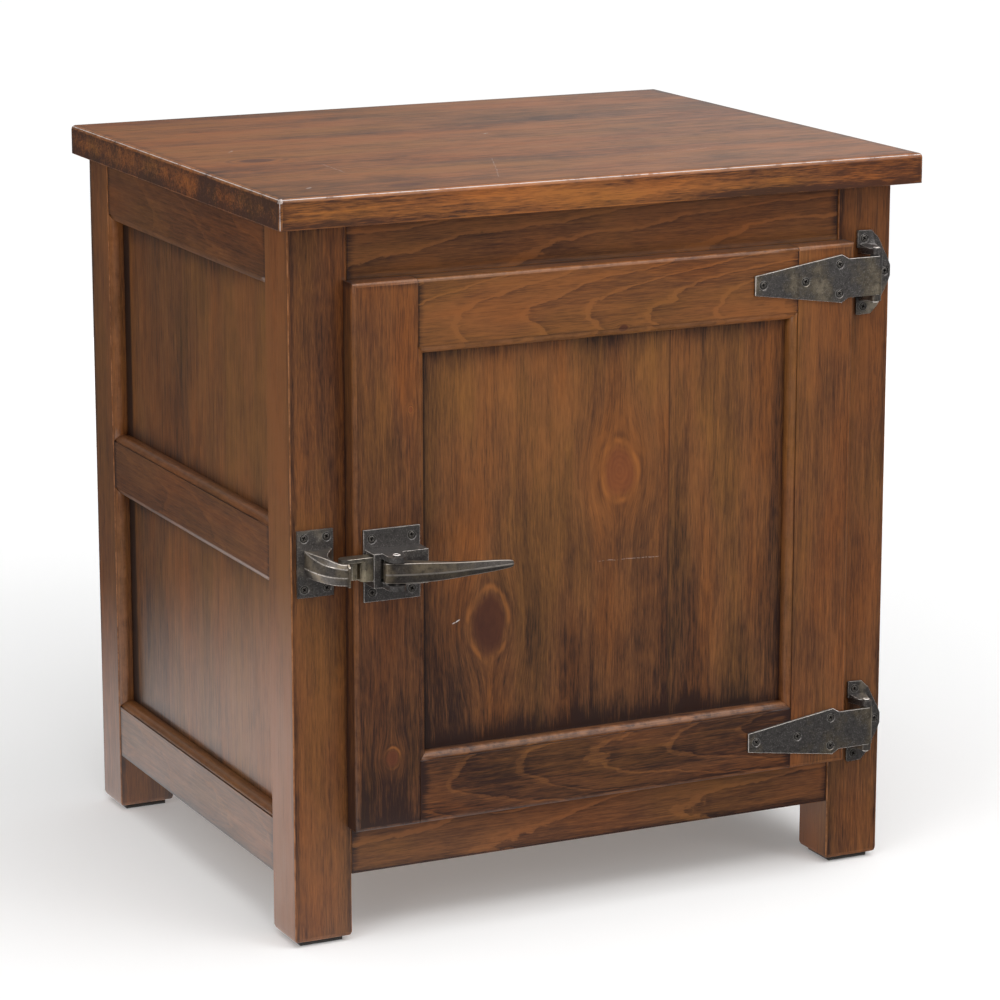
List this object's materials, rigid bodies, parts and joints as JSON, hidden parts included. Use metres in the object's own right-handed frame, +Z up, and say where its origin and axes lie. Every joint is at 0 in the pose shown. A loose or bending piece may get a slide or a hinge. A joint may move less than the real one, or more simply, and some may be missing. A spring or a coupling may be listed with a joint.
{
  "type": "side cabinet table",
  "caption": "Wooden side cabinet table with frame-and-panel sides, legs and an overhanging top, and an overlay door on strap hinges with a lever latch.",
  "frame": {"origin": "under the middle of the overall box, on the surface the foot pads stand on", "axes": "+X to the right when facing the door, +Y towards the back, +Z up"},
  "size_m": [0.575, 0.51, 0.613],
  "materials": {
    "top_wood": "satin brown stain, worn lighter at the edges",
    "frame_wood": "satin dark brown stain",
    "panel_wood": "satin dark brown stain, knotty",
    "inner_wood": "thinly stained inside faces",
    "bronze": "antique bronze, rubbed through at the edges",
    "worn_brass": "brass rubbed bright by use",
    "screw_steel": "darkened steel",
    "felt": "dark felt"
  },
  "bodies": {
    "carcass": {"back_panel": "inner_wood", "back_rail_bottom": "frame_wood", "back_rail_top": "frame_wood", "cabinet_floor": "inner_wood", "floor_cleat_left": "inner_wood", "floor_cleat_right": "inner_wood", "foot_pad_back_left": "felt", "foot_pad_back_right": "felt", "foot_pad_front_left": "felt", "foot_pad_front_right": "felt", "front_rail_bottom": "frame_wood", "front_rail_top": "frame_wood", "hinge_leaf_lower": "bronze", "hinge_leaf_upper": "bronze", "hinge_pin_lower": "bronze", "hinge_pin_upper": "bronze", "leaf_lower_screw_1": "screw_steel", "leaf_lower_screw_2": "screw_steel", "leaf_lower_screw_3": "screw_steel", "leaf_upper_screw_1": "screw_steel", "leaf_upper_screw_2": "screw_steel", "leaf_upper_screw_3": "screw_steel", "leg_back_left": "frame_wood", "leg_back_right": "frame_wood", "leg_front_left": "frame_wood", "leg_front_right": "frame_wood", "side_panel_lower_left": "panel_wood", "side_panel_lower_right": "panel_wood", "side_panel_upper_left": "panel_wood", "side_panel_upper_right": "panel_wood", "side_rail_bottom_left": "frame_wood", "side_rail_bottom_right": "frame_wood", "side_rail_middle_left": "frame_wood", "side_rail_middle_right": "frame_wood", "side_rail_top_left": "frame_wood", "side_rail_top_right": "frame_wood", "strike": "bronze", "tabletop": "top_wood"},
    "door": {"door_panel": "panel_wood", "door_rail_bottom": "frame_wood", "door_rail_top": "frame_wood", "door_stile_left": "frame_wood", "door_stile_right": "frame_wood", "hinge_strap_lower": "bronze", "hinge_strap_upper": "bronze", "latch_case": "bronze", "latch_pivot_pin": "bronze", "latch_spring": "screw_steel", "strap_lower_screw_1": "screw_steel", "strap_lower_screw_2": "screw_steel", "strap_lower_screw_3": "screw_steel", "strap_lower_screw_4": "screw_steel", "strap_upper_screw_1": "screw_steel", "strap_upper_screw_2": "screw_steel", "strap_upper_screw_3": "screw_steel", "strap_upper_screw_4": "screw_steel"},
    "latch_lever": {"latch_lever": "bronze"},
    "latch_bolt": {"latch_bolt": "worn_brass"}
  },
  "joints": [
    {"name": "door_hinge", "type": "hinge", "parent": "carcass", "child": "door", "pos_m": [0.2491, -0.2068, 0.31625], "axis": [0, 0, 1], "range_deg": [0, 165]},
    {"name": "lever_pivot", "type": "hinge", "parent": "door", "child": "latch_lever", "pos_m": [-0.2027, -0.2408, 0.31625], "axis": [0, 0, -1], "range_deg": [0, 24], "stiffness_Nm_per_rad": 0.08, "springref_deg": -8.59},
    {"name": "bolt_slide", "type": "slide", "parent": "door", "child": "latch_bolt", "axis": [1, 0, 0], "range_m": [0, 0.0067], "deforming": ["latch_spring"]}
  ],
  "couplings": [
    {"joint": "bolt_slide", "follows": "lever_pivot", "m_per_rad": 0.01598}
  ]
}
